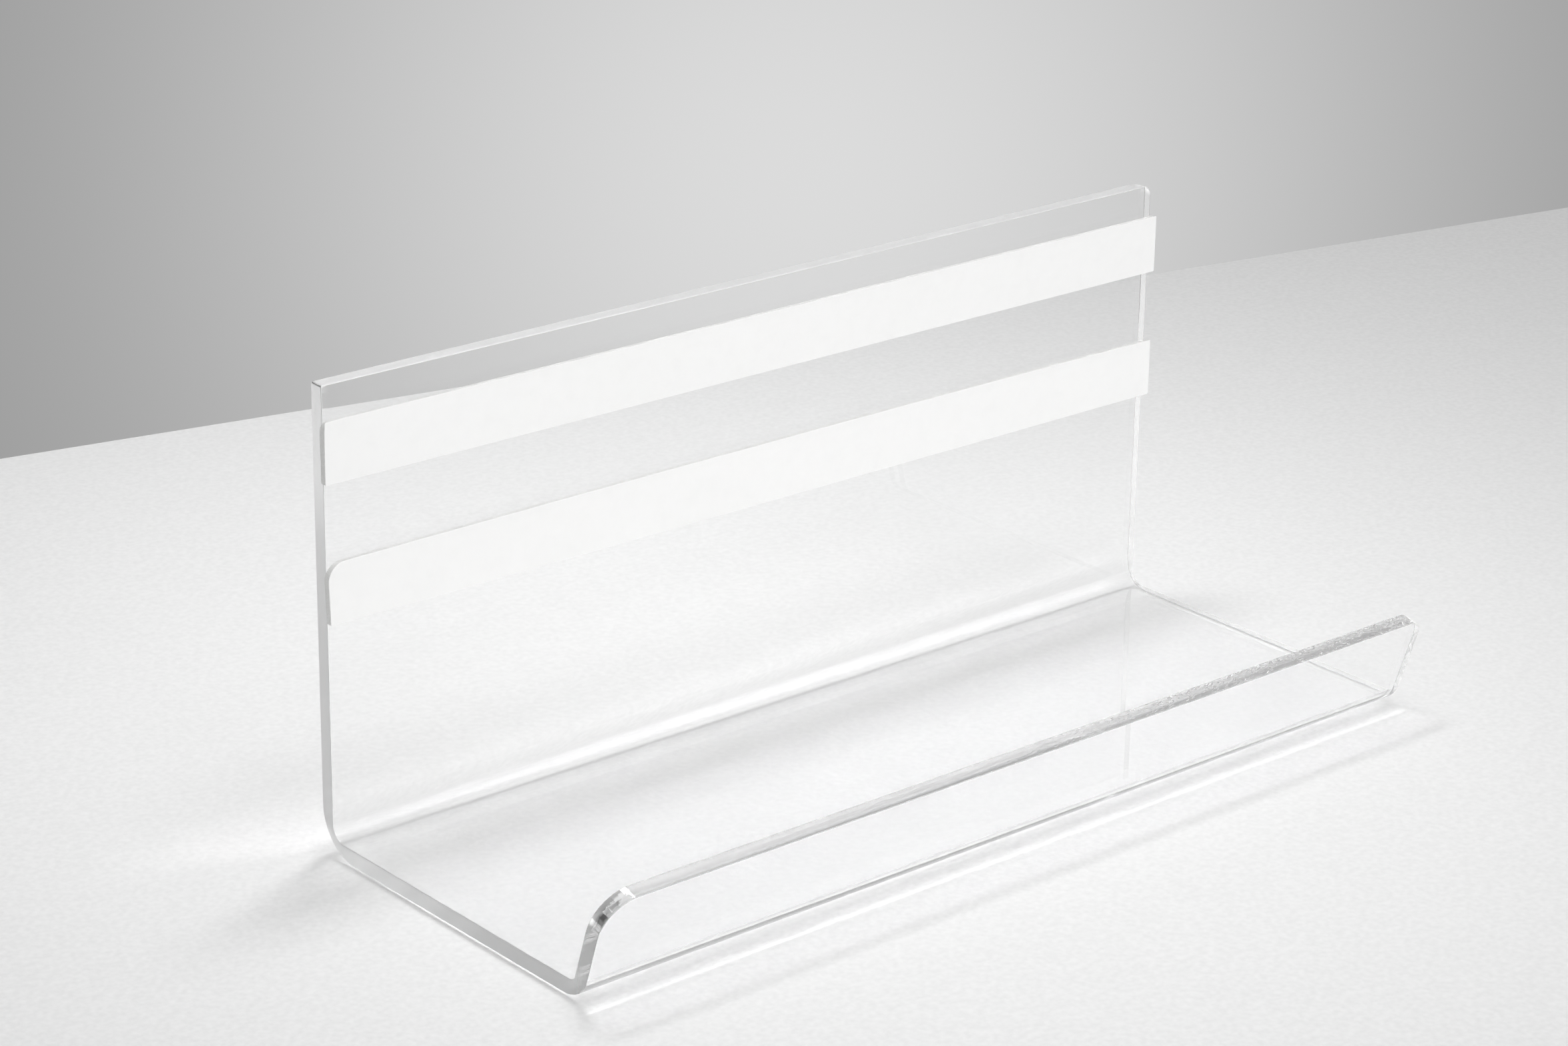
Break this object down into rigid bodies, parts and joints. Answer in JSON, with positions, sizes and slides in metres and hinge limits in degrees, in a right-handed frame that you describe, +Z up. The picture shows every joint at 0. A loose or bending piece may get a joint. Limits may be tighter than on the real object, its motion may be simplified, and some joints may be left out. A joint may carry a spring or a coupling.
{
  "type": "brochure holder",
  "caption": "Clear acrylic brochure holder: an upright back panel, flat tray and outward-leaning front lip bent from a sheet, with adhesive tape strips under white liners on the panel.",
  "frame": {"origin": "below the middle of the whole object, on the surface that the tray floor stands on", "axes": "+X along the width, -Y towards the lip and the user, +Z up"},
  "size_m": [0.2614, 0.1059, 0.115],
  "materials": {
    "clear_acrylic": "clear, flame-polished edges",
    "foam_tape": "matte foam",
    "release_liner": "smooth matte paper"
  },
  "bodies": {
    "holder": {"acrylic_holder": "clear_acrylic", "upper_tape": "foam_tape", "lower_tape": "foam_tape"},
    "upper_liner": {"upper_release_liner": "release_liner"},
    "lower_liner": {"lower_release_liner": "release_liner"}
  },
  "joints": [
    {"name": "upper_liner_peel", "type": "slide", "parent": "holder", "child": "upper_liner", "axis": [0, -1, 0], "range_m": [0, 0.11]},
    {"name": "lower_liner_peel", "type": "slide", "parent": "holder", "child": "lower_liner", "axis": [0, -1, 0], "range_m": [0, 0.11]}
  ]
}
